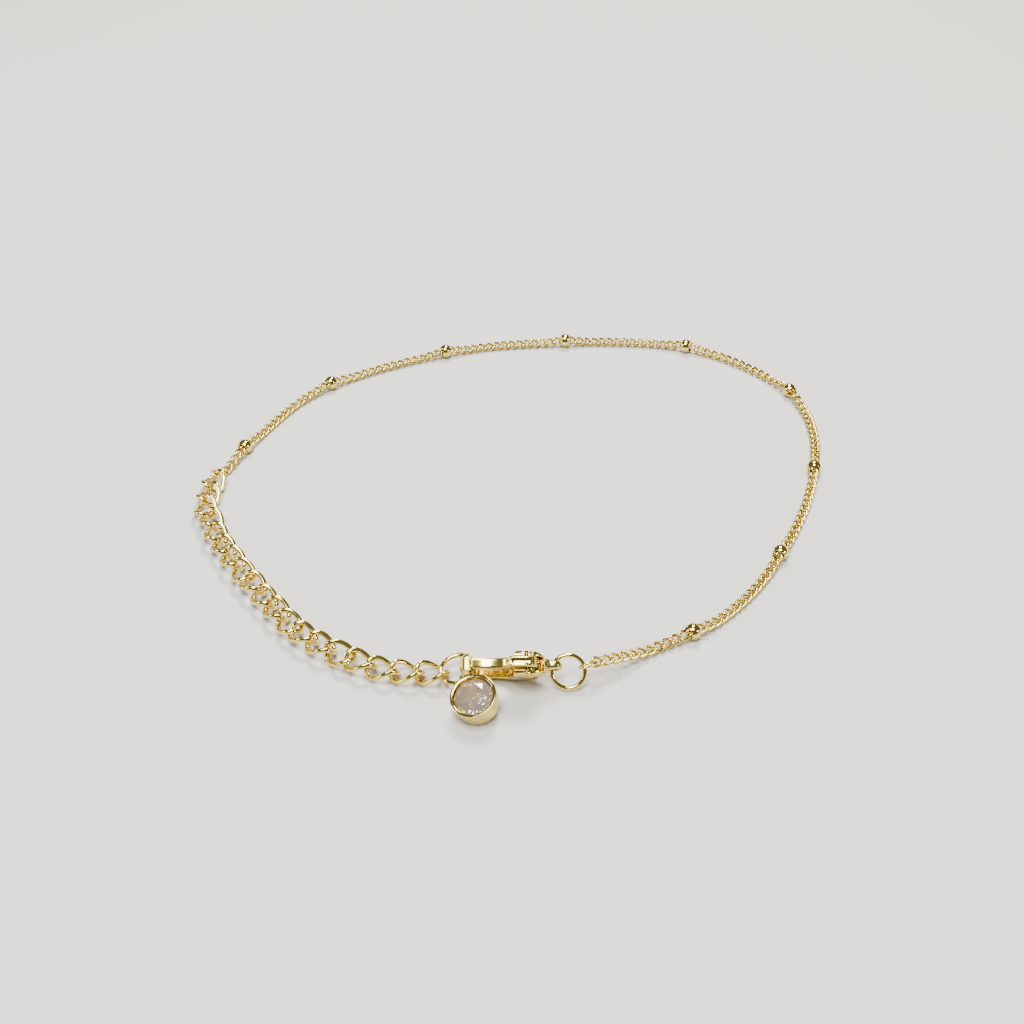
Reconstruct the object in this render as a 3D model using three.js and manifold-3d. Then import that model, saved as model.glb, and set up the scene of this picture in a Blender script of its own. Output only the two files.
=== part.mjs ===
import * as THREE from "three";
import { ParametricGeometry } from "three/addons/geometries/ParametricGeometry.js";
import { mergeVertices } from "three/addons/utils/BufferGeometryUtils.js";
import Module from "manifold-3d";

// Satellite curb-chain bracelet, closed by a lobster clasp in the end ring of its extender.
// Millimetres, +Z up, lying in a loop on z = 0, clasp toward -Y.

// Fine chain and beads
const CHAIN_WIDTH = 1.12;
const CHAIN_THICKNESS = 0.66;
const CHAIN_STEPS = 80;
const BEAD_RADIUS = 0.9;
const BEAD_BORE_RADIUS = 0.67;
const BEAD_COUNT = 9;
const BEAD_SPACING = 18.0;
const FIRST_BEAD_AT = 5.4;
const BEAD_RISE_REACH = 3.0;
const CLASP_END_HEIGHT = 2.2;
const CLASP_END_REACH = 7.0;

// Extender links
const LINK_HALF_LENGTH = 1.74;
const LINK_HALF_WIDTH = 1.3;
const LINK_SQUARENESS = 2.4;
const LINK_TWIST_DEG = -52;
const LINK_WIRE_WIDE = 0.54;
const LINK_WIRE_TALL = 0.6;
const LINK_SLACK = 0.06;
const FLOOR_GAP = 0.02;

// Round rings
const RING_WIRE_RADIUS = 0.25;
const END_RING_RADIUS = 1.9;
const END_RING_HOOK_AT = [1.7, -0.75];
const END_RING_RISE_DEG = 10;
const END_RING_DIP_DEG = 4;
const CLASP_RING_RADIUS = 1.78;
const CLASP_RING_CENTRE = new THREE.Vector3(5.45, -30.85, 1.85);
const CLASP_RING_TURN_DEG = 0;

// Lobster clasp, drawn in its own plane with the pivot at the origin
const CLASP_LEAN_DEG = 57;
const PIVOT = new THREE.Vector3(1.27, -31.1, 3.29);
const PIVOT_DRAWN_AT = [7.55, 1.05];
const SLOT_HALF_WIDTH = 0.72;
const LEVER_HALF_WIDTH = 0.54;
const RIVET_RADIUS = 0.4;
const RIVET_LENGTH = 2.8;
const RIVET_HOLE_RADIUS = 0.5;
const EYE_RADIUS = 0.95;
const EYE_HOLE_RADIUS = 0.62;
const RING_SEAT_GAP = 0.08;

// Bezel and stone
const BEZEL_RADIUS = 2.5;
const BEZEL_BACK_RADIUS = 2.4;
const BEZEL_DEPTH = 2.35;
const BEZEL_WALL = 0.28;
const BEZEL_FLOOR = 0.4;
const BEZEL_BACK_CENTRE = new THREE.Vector3(-4.18, -34.52, 0.73);
const BEZEL_AXIS = new THREE.Vector3(-0.225, -0.257, 0.939).normalize();
const LOOP_TOWARD = new THREE.Vector3(-0.45, 0.89, 0);
const LOOP_RADIUS = 0.75;
const LOOP_WIRE_RADIUS = 0.18;
const LOOP_DISTANCE = 3.04;
const LOOP_HEIGHT = 0.25;
const STONE_RADIUS = 2.14;
const STONE_GIRDLE_HEIGHT = 1.85;

// Plan of the fine chain from the extender to the clasp ring, one point every 6.2 mm or so
const ROUTE = [
  { x: -38.0, y: 5.1 },
  { x: -36.2, y: 9.8 },
  { x: -33.7, y: 15.1 },
  { x: -30.6, y: 20.5 },
  { x: -26.8, y: 24.6 },
  { x: -21.9, y: 28.0 },
  { x: -16.6, y: 30.8 },
  { x: -11.1, y: 33.0 },
  { x: -5.4, y: 34.8 },
  { x: 0.5, y: 35.7 },
  { x: 6.4, y: 36.1 },
  { x: 12.4, y: 36.4 },
  { x: 18.4, y: 36.1 },
  { x: 24.1, y: 35.0 },
  { x: 29.6, y: 32.6 },
  { x: 34.3, y: 28.9 },
  { x: 38.0, y: 24.2 },
  { x: 39.9, y: 18.7 },
  { x: 40.1, y: 12.8 },
  { x: 39.0, y: 6.9 },
  { x: 37.4, y: 1.2 },
  { x: 35.1, y: -4.3 },
  { x: 32.3, y: -9.6 },
  { x: 29.2, y: -14.7 },
  { x: 25.4, y: -19.4 },
  { x: 21.0, y: -23.2 },
  { x: 15.6, y: -26.0 },
  { x: 10.9, y: -28.6 },
  { x: 7.5, y: -30.1 },
];

// Extender links from the fine chain to the end ring: centre in plan and roll about the run
const LINKS = [
  { x: -38.87, y: 2.7, roll: 0 },
  { x: -38.99, y: 0.0, roll: 8 },
  { x: -38.93, y: -2.71, roll: 20 },
  { x: -37.75, y: -5.12, roll: -6 },
  { x: -36.76, y: -7.65, roll: -6 },
  { x: -35.36, y: -9.98, roll: -4 },
  { x: -33.89, y: -12.27, roll: 4 },
  { x: -32.4, y: -14.55, roll: 26 },
  { x: -30.7, y: -16.6, roll: -6 },
  { x: -29.1, y: -18.76, roll: -4 },
  { x: -27.42, y: -20.86, roll: 2 },
  { x: -25.8, y: -23, roll: 24 },
  { x: -23.8, y: -24.75, roll: -8 },
  { x: -21.74, y: -26.3, roll: 0 },
  { x: -19.5, y: -27.75, roll: 26 },
  { x: -17.14, y: -28.8, roll: -6 },
  { x: -14.7, y: -29.73, roll: -4 },
  { x: -12, y: -30.2, roll: -8 },
  { x: -9.24, y: -30.28, roll: -6 },
];

const UP = new THREE.Vector3(0, 0, 1);
const RAD = Math.PI / 180;
const wasm = await Module();
wasm.setup();
const bracelet = new THREE.Group();
bracelet.name = "bracelet";

const PALE_GOLD = { color: 0xd3c389, metalness: 1, roughness: 0.24 };
const CHAIN_GOLD = { color: 0xcbb97c, metalness: 1, roughness: 0.3 };
const CLASP_GOLD = { color: 0xcfb974, metalness: 1, roughness: 0.22 };
const CLEAR_STONE = { color: 0xf2e9dc, metalness: 0, roughness: 0.05 };

// Adds one named mesh with a material of its own
function add(name, geometry, finish, matrix = new THREE.Matrix4()) {
  const mesh = new THREE.Mesh(geometry, new THREE.MeshStandardMaterial(finish));
  mesh.name = name;
  mesh.applyMatrix4(matrix);
  bracelet.add(mesh);
  return mesh;
}

// A closed geometry as a solid for booleans
function solid(geometry) {
  const bare = new THREE.BufferGeometry();
  bare.setAttribute("position", geometry.getAttribute("position"));
  bare.setIndex(geometry.index);
  const merged = mergeVertices(bare, 1e-4);
  return new wasm.Manifold(
    new wasm.Mesh({
      numProp: 3,
      vertProperties: merged.attributes.position.array,
      triVerts: new Uint32Array(merged.index.array),
    }),
  );
}

// A solid back as flat-shaded geometry
function faceted(body) {
  const mesh = body.getMesh();
  const geometry = new THREE.BufferGeometry();
  const points = new THREE.BufferAttribute(mesh.vertProperties, mesh.numProp);
  geometry.setAttribute("position", points);
  geometry.setIndex(new THREE.BufferAttribute(mesh.triVerts, 1));
  const flat = geometry.toNonIndexed();
  flat.computeVertexNormals();
  return flat;
}

// The frame whose X runs along the given direction and whose Z is as near as can be to the second
function frameAt(origin, along, near) {
  const x = along.clone().normalize();
  const z = near.clone().addScaledVector(x, -near.dot(x)).normalize();
  const y = new THREE.Vector3().crossVectors(z, x);
  return new THREE.Matrix4().makeBasis(x, y, z).setPosition(origin);
}

// Route whose section stays level: X of the section to the left, Y of it up
class LevelRoute extends THREE.CatmullRomCurve3 {
  computeFrenetFrames(segments) {
    const frames = { tangents: [], normals: [], binormals: [] };
    for (let i = 0; i <= segments; i++) {
      const tangent = this.getTangentAt(i / segments);
      const left = new THREE.Vector3().crossVectors(UP, tangent).normalize();
      frames.tangents.push(tangent);
      frames.normals.push(left);
      frames.binormals.push(new THREE.Vector3().crossVectors(tangent, left));
    }
    return frames;
  }
}

// Height of the chain's centre: low between beads, up at each bead and on the clasp ring
function chainHeight(at, length) {
  const nearest = THREE.MathUtils.clamp(
    Math.round((at - FIRST_BEAD_AT) / BEAD_SPACING),
    0,
    BEAD_COUNT - 1,
  );
  const fromBead = at - FIRST_BEAD_AT - nearest * BEAD_SPACING;
  const low = CHAIN_THICKNESS / 2;
  const rise = BEAD_RADIUS - low;
  const bead = low + rise * Math.exp(-((fromBead / BEAD_RISE_REACH) ** 2));
  const left = (length - at) / CLASP_END_REACH;
  return Math.max(bead, CLASP_END_HEIGHT * Math.exp(-(left ** 2)));
}

// The fine chain as one flattened tube, with its underside level
const planRoute = new THREE.CatmullRomCurve3(
  ROUTE.map(({ x, y }) => new THREE.Vector3(x, y, 0)),
);
const chainLength = planRoute.getLength();
const risen = [];
for (let i = 0; i <= 2 * CHAIN_STEPS; i++) {
  const part = i / (2 * CHAIN_STEPS);
  const point = planRoute.getPointAt(part);
  point.z = chainHeight(part * chainLength, chainLength);
  risen.push(point);
}
const route = new LevelRoute(risen);
const chainSection = new THREE.Shape();
for (let i = 0; i < 8; i++) {
  const across = (CHAIN_WIDTH / 2) * (i % 4 === 0 || i % 4 === 3 ? 1 : 0.55);
  const up = (CHAIN_THICKNESS / 2) * (i % 4 === 0 || i % 4 === 3 ? 0.36 : 1);
  const sideways = i < 2 || i > 5 ? across : -across;
  chainSection[i ? "lineTo" : "moveTo"](sideways, i < 4 ? up : -up);
}
chainSection.closePath();
add(
  "chain_tube",
  new THREE.ExtrudeGeometry(chainSection, {
    steps: CHAIN_STEPS,
    extrudePath: route,
    bevelEnabled: false,
  }),
  CHAIN_GOLD,
);

// Bored balls on the chain
const boreHalf = Math.sqrt(BEAD_RADIUS ** 2 - BEAD_BORE_RADIUS ** 2);
const ballProfile = [];
for (let i = 0; i <= 6; i++) {
  const angle = (i / 3 - 1) * Math.asin(boreHalf / BEAD_RADIUS);
  const out = BEAD_RADIUS * Math.cos(angle);
  ballProfile.push(new THREE.Vector2(out, BEAD_RADIUS * Math.sin(angle)));
}
ballProfile.push(ballProfile[0].clone());
const spaced = route.getSpacedPoints(CHAIN_STEPS);
const stepLength = chainLength / CHAIN_STEPS;
for (let i = 0; i < BEAD_COUNT; i++) {
  const at = (FIRST_BEAD_AT + i * BEAD_SPACING) / stepLength;
  const onChain = (step) =>
    spaced[Math.floor(step)].clone().lerp(spaced[Math.floor(step) + 1], step % 1);
  const from = onChain(at - 0.3);
  const to = onChain(at + 0.3);
  const centre = from.clone().lerp(to, 0.5);
  centre.z = Math.max(centre.z, BEAD_RADIUS);
  const stand = new THREE.Matrix4().makeRotationZ(Math.PI / 2);
  const across = new THREE.Vector3().subVectors(to, from);
  across.z = 0;
  add(
    `bead_${i + 1}`,
    new THREE.LatheGeometry(ballProfile, 12),
    PALE_GOLD,
    frameAt(centre, across, UP).multiply(stand),
  );
}

// One flattened curb link about its own centre, long along X, twisted about X
function linkGeometry() {
  const power = 2 / LINK_SQUARENESS;
  const twist = LINK_TWIST_DEG * RAD;
  const middle = (part) => {
    const c = Math.cos(2 * Math.PI * part);
    const s = Math.sin(2 * Math.PI * part);
    const x = LINK_HALF_LENGTH * Math.sign(c) * Math.abs(c) ** power;
    const y = LINK_HALF_WIDTH * Math.sign(s) * Math.abs(s) ** power;
    return new THREE.Vector3(x, y, 0);
  };
  return new ParametricGeometry(
    (u, v, target) => {
      const turn = (v + 0.5 / 18) % 1;
      const centre = middle(turn);
      const run = middle(turn + 1e-3).sub(middle(turn - 1e-3)).normalize();
      const out = new THREE.Vector3(run.y, -run.x, 0);
      const wide = (LINK_WIRE_WIDE / 2) * Math.cos(2 * Math.PI * u);
      const tall = (LINK_WIRE_TALL / 2) * Math.sin(2 * Math.PI * u);
      target.copy(centre).addScaledVector(out, wide);
      target.z -= tall;
      const roll = (twist * centre.x) / LINK_HALF_LENGTH;
      target.applyAxisAngle(new THREE.Vector3(1, 0, 0), roll);
    },
    8,
    18,
  );
}

// The extender: each link at its own roll, lying on z = 0 or held up by a neighbour
const linkShapes = LINKS.map(({ x, y, roll }, i) => {
  const before = LINKS[Math.max(i - 1, 0)];
  const after = LINKS[Math.min(i + 1, LINKS.length - 1)];
  const run = new THREE.Vector3(after.x - before.x, after.y - before.y, 0);
  const tilt = new THREE.Matrix4().makeRotationX(roll * RAD);
  const geometry = linkGeometry().applyMatrix4(
    frameAt(new THREE.Vector3(x, y, 0), run, UP).multiply(tilt),
  );
  geometry.computeBoundingBox();
  return geometry;
});
const lying = linkShapes.map((shape) => FLOOR_GAP - shape.boundingBox.min.z);
linkShapes.forEach((shape, i) => {
  const beside = Math.max(lying[i - 1] ?? 0, lying[i + 1] ?? 0);
  shape.translate(0, 0, Math.max(lying[i], beside - LINK_SLACK));
  add(`extender_link_${String(i + 1).padStart(2, "0")}`, shape, CHAIN_GOLD);
});

// The clasp's plane: X along it from head to tail, Y toward the lever, Z through the pivot
const claspFrame = new THREE.Matrix4()
  .makeRotationX(Math.PI - CLASP_LEAN_DEG * RAD)
  .setPosition(PIVOT);
const drawn = (p, q) => new THREE.Vector2(p - PIVOT_DRAWN_AT[0], q - PIVOT_DRAWN_AT[1]);
const spline = (pairs, divisions) =>
  new THREE.SplineCurve(pairs.map(([p, q]) => drawn(p, q))).getPoints(divisions);
const prism = (points, low, high) =>
  solid(
    new THREE.ExtrudeGeometry(new THREE.Shape(points), {
      depth: high - low,
      bevelEnabled: false,
    }).translate(0, 0, low),
  );
const pin = (p, q, radius, length, sides) => {
  const at = drawn(p, q);
  const rod = new THREE.CylinderGeometry(radius, radius, length, sides);
  return solid(rod.rotateX(Math.PI / 2).translate(at.x, at.y, 0));
};

// End ring: goes through the hook at its drawn point, nearly level
const hookPoint = drawn(...END_RING_HOOK_AT);
const inHook = new THREE.Vector3(hookPoint.x, hookPoint.y, 0).applyMatrix4(claspFrame);
const outward = new THREE.Vector3(1, 0, Math.tan(END_RING_RISE_DEG * RAD)).normalize();
const ringUp = new THREE.Vector3(0, -Math.sin(END_RING_DIP_DEG * RAD), 1);
const endRingFrame = frameAt(
  inHook.clone().addScaledVector(outward, -END_RING_RADIUS),
  outward,
  ringUp,
);
const ringGeometry = (radius, wire) => new THREE.TorusGeometry(radius, wire, 8, 22);
add("ring_extender_end", ringGeometry(END_RING_RADIUS, RING_WIRE_RADIUS), PALE_GOLD, endRingFrame);

// Clasp ring: through the tail eye, leaning back with the clasp
const leanBack = new THREE.Vector3(0, -0.763, 0.647);
const rightward = new THREE.Vector3(1, 0, 0).applyAxisAngle(
  new THREE.Vector3(0, 0.647, 0.763),
  CLASP_RING_TURN_DEG * RAD,
);
const facing = leanBack.clone().applyAxisAngle(
  new THREE.Vector3(0, 0.647, 0.763),
  CLASP_RING_TURN_DEG * RAD,
);
add(
  "ring_clasp",
  ringGeometry(CLASP_RING_RADIUS, RING_WIRE_RADIUS),
  PALE_GOLD,
  frameAt(CLASP_RING_CENTRE, rightward, facing),
);

// Clasp body: plan outline cut to the side outline, then bored and slotted
const outer = spline(
  [
    [1.15, 1.75],
    [0.35, 1.05],
    [0, 0],
    [0.25, -1.1],
    [1.1, -2.0],
    [2.6, -2.4],
    [4.3, -2.4],
    [6.2, -2.2],
    [8.0, -1.6],
    [9.35, -0.8],
  ],
  18,
);
const eye = [];
for (let i = 1; i < 8; i++) {
  const angle = (i / 8) * 2 * 122 * RAD - 122 * RAD;
  eye.push(drawn(10.15 + EYE_RADIUS * Math.cos(angle), EYE_RADIUS * Math.sin(angle)));
}
const top = spline(
  [
    [9.35, 0.95],
    [8.9, 1.5],
    [8.0, 2.0],
    [7.0, 2.25],
    [5.9, 2.1],
  ],
  6,
);
const opening = spline(
  [
    [5.6, -0.1],
    [5.0, -1.1],
    [3.6, -1.45],
    [2.2, -1.55],
    [1.25, -0.55],
    [1.05, 0.3],
    [1.25, 0.95],
  ],
  12,
);
const sideOutline = [
  { p: -0.2, half: 0.3 },
  { p: 0, half: 0.45 },
  { p: 0.5, half: 0.9 },
  { p: 1.6, half: 1.25 },
  { p: 4, half: 1.25 },
  { p: 6.5, half: 1.5 },
  { p: 8.2, half: 1.4 },
  { p: 9.2, half: 0.8 },
  { p: 9.7, half: 0.45 },
  { p: 11.3, half: 0.4 },
];
const sidePoints = [
  ...sideOutline.map(({ p, half }) => new THREE.Vector2(p - PIVOT_DRAWN_AT[0], -half)),
  ...sideOutline
    .map(({ p, half }) => new THREE.Vector2(p - PIVOT_DRAWN_AT[0], half))
    .reverse(),
];
const plan = prism([...outer, ...eye, ...top, ...opening], -1.6, 1.6);
const side = solid(
  new THREE.ExtrudeGeometry(new THREE.Shape(sidePoints), {
    depth: 8,
    bevelEnabled: false,
  })
    .rotateX(Math.PI / 2)
    .translate(0, 4, 0),
);
const ridgeOutline = [
  { q: -2.5, half: 0.55 },
  { q: -2.3, half: 0.78 },
  { q: -1.9, half: 1.1 },
  { q: -1.3, half: 1.35 },
  { q: -0.6, half: 1.55 },
  { q: 1.2, half: 1.55 },
  { q: 1.9, half: 1.35 },
  { q: 2.6, half: 0.95 },
];
const ridgePoints = [
  ...ridgeOutline.map(({ q, half }) => new THREE.Vector2(half, q - PIVOT_DRAWN_AT[1])),
  ...ridgeOutline
    .map(({ q, half }) => new THREE.Vector2(-half, q - PIVOT_DRAWN_AT[1]))
    .reverse(),
];
const ridge = solid(
  new THREE.ExtrudeGeometry(new THREE.Shape(ridgePoints), {
    depth: 14,
    bevelEnabled: false,
  })
    .rotateY(Math.PI / 2)
    .translate(-8.5, 0, 0),
);
const slotOutline = [
  [5.0, -0.7],
  [6.4, -0.55],
  [7.3, -0.15],
  [8.6, -0.05],
  [9.05, 0.5],
  [9.05, 4],
  [5.0, 4],
].map(([p, q]) => drawn(p, q));
const slot = prism(slotOutline, -SLOT_HALF_WIDTH, SLOT_HALF_WIDTH);
const seatRing = ringGeometry(END_RING_RADIUS, RING_WIRE_RADIUS + RING_SEAT_GAP);
const seat = solid(
  seatRing.applyMatrix4(claspFrame.clone().invert().multiply(endRingFrame)),
);
const claspBody = plan
  .intersect(side)
  .intersect(ridge)
  .subtract(slot)
  .subtract(seat)
  .subtract(pin(10.15, 0, EYE_HOLE_RADIUS, 4, 12))
  .subtract(pin(...PIVOT_DRAWN_AT, RIVET_HOLE_RADIUS, 4, 12));
add("clasp_body", faceted(claspBody), CLASP_GOLD, claspFrame);

// Sprung lever: hub on the rivet, bar to the hook's tip, thumb tab over the slot
const bar = spline(
  [
    [1.38, 1.0],
    [3.0, 1.02],
    [4.6, 0.75],
    [6.2, 0.35],
    [7.2, 0.17],
  ],
  8,
);
const hub = [];
for (let i = 1; i < 6; i++) {
  const angle = (i / 6) * 160 * RAD - 90 * RAD;
  hub.push(
    drawn(
      PIVOT_DRAWN_AT[0] + 0.9 * Math.cos(angle),
      PIVOT_DRAWN_AT[1] + 0.9 * Math.sin(angle),
    ),
  );
}
const tab = spline(
  [
    [8.35, 2.35],
    [7.7, 2.95],
    [6.4, 3.1],
    [5.5, 3.0],
    [5.3, 2.6],
    [4.9, 2.05],
    [3.4, 1.85],
    [1.38, 1.72],
  ],
  14,
);
const lever = prism([...bar, ...hub, ...tab], -LEVER_HALF_WIDTH, LEVER_HALF_WIDTH);
const leverBored = lever.subtract(pin(...PIVOT_DRAWN_AT, RIVET_HOLE_RADIUS, 3, 12));
add("clasp_lever", faceted(leverBored), CLASP_GOLD, claspFrame);
const rivet = new THREE.CylinderGeometry(RIVET_RADIUS, RIVET_RADIUS, RIVET_LENGTH, 12);
add("clasp_rivet", rivet.rotateX(Math.PI / 2), CLASP_GOLD, claspFrame);

// Bezel cup with a rounded back edge, and the loop soldered to its wall
const bezelFrame = frameAt(
  BEZEL_BACK_CENTRE,
  LOOP_TOWARD.clone().addScaledVector(BEZEL_AXIS, -LOOP_TOWARD.dot(BEZEL_AXIS)),
  BEZEL_AXIS,
);
const cupInner = BEZEL_RADIUS - BEZEL_WALL;
const cupProfile = [
  new THREE.Vector2(0, 0),
  new THREE.Vector2(BEZEL_BACK_RADIUS - 0.3, 0),
  new THREE.Vector2(BEZEL_BACK_RADIUS - 0.08, 0.1),
  new THREE.Vector2(BEZEL_BACK_RADIUS, 0.3),
  new THREE.Vector2(BEZEL_RADIUS, BEZEL_DEPTH - 0.12),
  new THREE.Vector2(BEZEL_RADIUS - 0.1, BEZEL_DEPTH),
  new THREE.Vector2(cupInner, BEZEL_DEPTH - 0.05),
  new THREE.Vector2(cupInner, 1.5),
  new THREE.Vector2(cupInner - 0.2, BEZEL_FLOOR),
  new THREE.Vector2(0, BEZEL_FLOOR),
];
const cup = solid(new THREE.LatheGeometry(cupProfile, 26).rotateX(Math.PI / 2));
const loop = solid(
  new THREE.TorusGeometry(LOOP_RADIUS, LOOP_WIRE_RADIUS, 8, 18)
    .rotateX(Math.PI / 2)
    .translate(LOOP_DISTANCE, 0, LOOP_HEIGHT),
);
const hollow = solid(
  new THREE.CylinderGeometry(cupInner, cupInner - 0.1, 2, 20)
    .rotateX(Math.PI / 2)
    .translate(0, 0, BEZEL_FLOOR + 1.1),
);
const setting = cup.add(loop.subtract(hollow));
add("setting", faceted(setting), PALE_GOLD, bezelFrame);

// Round cut stone: flat table, crown, girdle and point down
const stoneProfile = [
  new THREE.Vector2(0, -1.25),
  new THREE.Vector2(STONE_RADIUS, -0.06),
  new THREE.Vector2(STONE_RADIUS, 0.06),
  new THREE.Vector2(STONE_RADIUS * 0.58, 0.62),
  new THREE.Vector2(0, 0.62),
];
const stone = new THREE.LatheGeometry(stoneProfile, 16).rotateX(Math.PI / 2);
stone.translate(0, 0, STONE_GIRDLE_HEIGHT);
add("stone", stone, CLEAR_STONE, bezelFrame);

export default bracelet;
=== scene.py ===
"""Pale gold bracelet, closed and lying flat.

A fine curb chain with round beads, an extender of larger curb links, two round rings, a lobster
clasp with a sprung lever and a small bezel-set stone. Shapes are worked out in millimetres with
numpy and put into meshes in metres, in the frame of the construction model.
"""

import logging
import math
from dataclasses import dataclass, field
from enum import Enum
from typing import Callable

import bpy
import numpy as np
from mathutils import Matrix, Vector


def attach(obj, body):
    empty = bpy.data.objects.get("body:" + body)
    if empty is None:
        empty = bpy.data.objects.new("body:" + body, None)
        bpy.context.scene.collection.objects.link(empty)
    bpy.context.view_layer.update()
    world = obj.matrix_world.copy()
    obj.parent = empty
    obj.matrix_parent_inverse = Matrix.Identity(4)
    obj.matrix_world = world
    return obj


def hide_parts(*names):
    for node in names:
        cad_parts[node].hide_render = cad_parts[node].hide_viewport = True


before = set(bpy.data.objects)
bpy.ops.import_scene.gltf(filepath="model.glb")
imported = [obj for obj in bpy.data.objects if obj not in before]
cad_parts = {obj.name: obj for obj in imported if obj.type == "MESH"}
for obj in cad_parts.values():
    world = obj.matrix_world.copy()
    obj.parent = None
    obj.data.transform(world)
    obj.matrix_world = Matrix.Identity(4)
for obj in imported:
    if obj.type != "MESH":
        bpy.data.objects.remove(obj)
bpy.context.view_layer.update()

LOG = logging.getLogger("bracelet")
MM = 0.001
UP = np.array([0.0, 0.0, 1.0])

Array = np.ndarray
Field = Callable[[Array], Array]


# Finishes


def linear(code: str) -> tuple[float, float, float, float]:
    """Turns an sRGB hex colour into linear light.

    Args:
        code: six hex digits, such as "F2DC9B".

    Returns:
        Red, green, blue and alpha, each from 0 to 1.
    """
    parts = np.array([int(code[i : i + 2], 16) for i in (0, 2, 4)]) / 255.0
    light = np.where(parts <= 0.04045, parts / 12.92, ((parts + 0.055) / 1.055) ** 2.4)
    return (float(light[0]), float(light[1]), float(light[2]), 1.0)


def put(
    tree: bpy.types.NodeTree,
    kind: str,
    settings: dict | None = None,
    **sources: bpy.types.NodeSocket,
) -> bpy.types.Node:
    """Adds a node with its settings and links.

    Args:
        tree: the material's node tree.
        kind: the node's type name.
        settings: values by socket name, or by property name where the node has no such socket.
        sources: output sockets by the input they feed, with spaces written as underscores.

    Returns:
        The new node.
    """
    node = tree.nodes.new(kind)
    for name, value in (settings or {}).items():
        if hasattr(node, name):
            setattr(node, name, value)
        else:
            node.inputs[name].default_value = value
    for name, output in sources.items():
        tree.links.new(output, node.inputs[name.replace("_", " ")])
    return node


def shaded(name: str, tint: str, values: dict[str, float]) -> bpy.types.Material:
    """Makes a material with one shader.

    Args:
        name: the material's name.
        tint: its colour, as six hex digits.
        values: the shader's other inputs, by name.

    Returns:
        The material.
    """
    made = bpy.data.materials.new(name)
    made.use_nodes = True
    shader = made.node_tree.nodes["Principled BSDF"]
    shader.inputs["Base Color"].default_value = linear(tint)
    for socket, value in values.items():
        shader.inputs[socket].default_value = value
    return made


@dataclass(frozen=True)
class PlatedGold:
    """Pale gold plate over brass: a clear metallic mirror, broken by fine polishing marks.

    The plate's colour is the metal's own, so deep places that reflect gold into gold turn a
    warm orange, and single reflections stay pale.
    """

    name: str
    tint: str = "E1C96A"
    roughness: float = 0.12
    marks_mm: float = 0.12
    marks_depth_mm: float = 0.002
    cloud_mm: float = 0.9

    def material(self) -> bpy.types.Material:
        """Builds the plate.

        Returns:
            The material, with cloudy roughness and faint polishing marks in the normal.
        """
        made = shaded(self.name, self.tint, {"Metallic": 1.0})
        tree = made.node_tree
        shader = tree.nodes["Principled BSDF"]
        place = put(tree, "ShaderNodeTexCoord").outputs["Object"]
        grain = {"Scale": 1.0 / (self.cloud_mm * MM), "Detail": 3.0}
        cloud = put(tree, "ShaderNodeTexNoise", grain, Vector=place)
        span = {"To Min": self.roughness * 0.7, "To Max": self.roughness * 1.35}
        spread = put(tree, "ShaderNodeMapRange", span, Value=cloud.outputs["Fac"])
        scratch = {"Scale": 1.0 / (self.marks_mm * MM), "Detail": 2.0}
        marks = put(tree, "ShaderNodeTexNoise", scratch, Vector=place)
        depth = {"Strength": 0.35, "Distance": self.marks_depth_mm * MM}
        relief = put(tree, "ShaderNodeBump", depth, Height=marks.outputs["Fac"])
        tree.links.new(spread.outputs["Result"], shader.inputs["Roughness"])
        tree.links.new(relief.outputs["Normal"], shader.inputs["Normal"])
        return made


@dataclass(frozen=True)
class CutStone:
    """Clear cubic zirconia: flat polished facets that bend light strongly and sparkle."""

    name: str = "cubic_zirconia"
    tint: str = "FFEFD8"
    ior: float = 2.0
    clarity: float = 0.9

    def material(self) -> bpy.types.Material:
        """Builds the stone as a smooth solid that lets most light through and holds a little."""
        optics = {"Roughness": 0.0, "Transmission Weight": self.clarity, "IOR": self.ior}
        return shaded(self.name, self.tint, optics)


@dataclass(frozen=True)
class MattePaper:
    """Uncoated pale board under the bracelet: even, soft and without gloss."""

    name: str = "pale_board"
    tint: str = "C6C4BE"

    def material(self) -> bpy.types.Material:
        """Builds the board as a plain rough sheet."""
        return shaded(self.name, self.tint, {"Roughness": 0.85})


# Meshes


@dataclass
class Surface:
    """Points and faces of one closed surface, in millimetres.

    Quads and triangles are kept as two index arrays so that both go in as whole arrays.
    """

    points: Array
    quads: Array = field(default_factory=lambda: np.zeros((0, 4), int))
    triangles: Array = field(default_factory=lambda: np.zeros((0, 3), int))

    def moved(self, matrix: Array) -> "Surface":
        """The surface carried by a 4 x 4 matrix."""
        points = self.points @ matrix[:3, :3].T + matrix[:3, 3]
        return Surface(points, self.quads, self.triangles)


def joined(surfaces: list[Surface]) -> Surface:
    """Puts surfaces side by side in one.

    Args:
        surfaces: the surfaces to join, in order.

    Returns:
        One surface whose faces keep to their own points.
    """
    starts = np.cumsum([0] + [len(s.points) for s in surfaces[:-1]])
    return Surface(
        np.concatenate([s.points for s in surfaces]),
        np.concatenate([s.quads + at for s, at in zip(surfaces, starts)]),
        np.concatenate([s.triangles + at for s, at in zip(surfaces, starts)]),
    )


def grid_quads(rows: int, columns: int, rows_closed: bool, columns_closed: bool) -> Array:
    """Index array of the quads of a grid of points.

    Args:
        rows: number of rows of points.
        columns: number of points in a row.
        rows_closed: whether the last row meets the first.
        columns_closed: whether the last point of a row meets the first.

    Returns:
        An array of shape (faces, 4).
    """
    i = np.arange(rows if rows_closed else rows - 1)[:, None]
    j = np.arange(columns if columns_closed else columns - 1)[None, :]
    nexti, nextj = (i + 1) % rows, (j + 1) % columns
    corners = [i * columns + j, nexti * columns + j, nexti * columns + nextj, i * columns + nextj]
    return np.stack(np.broadcast_arrays(*corners), axis=-1).reshape(-1, 4)


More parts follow.
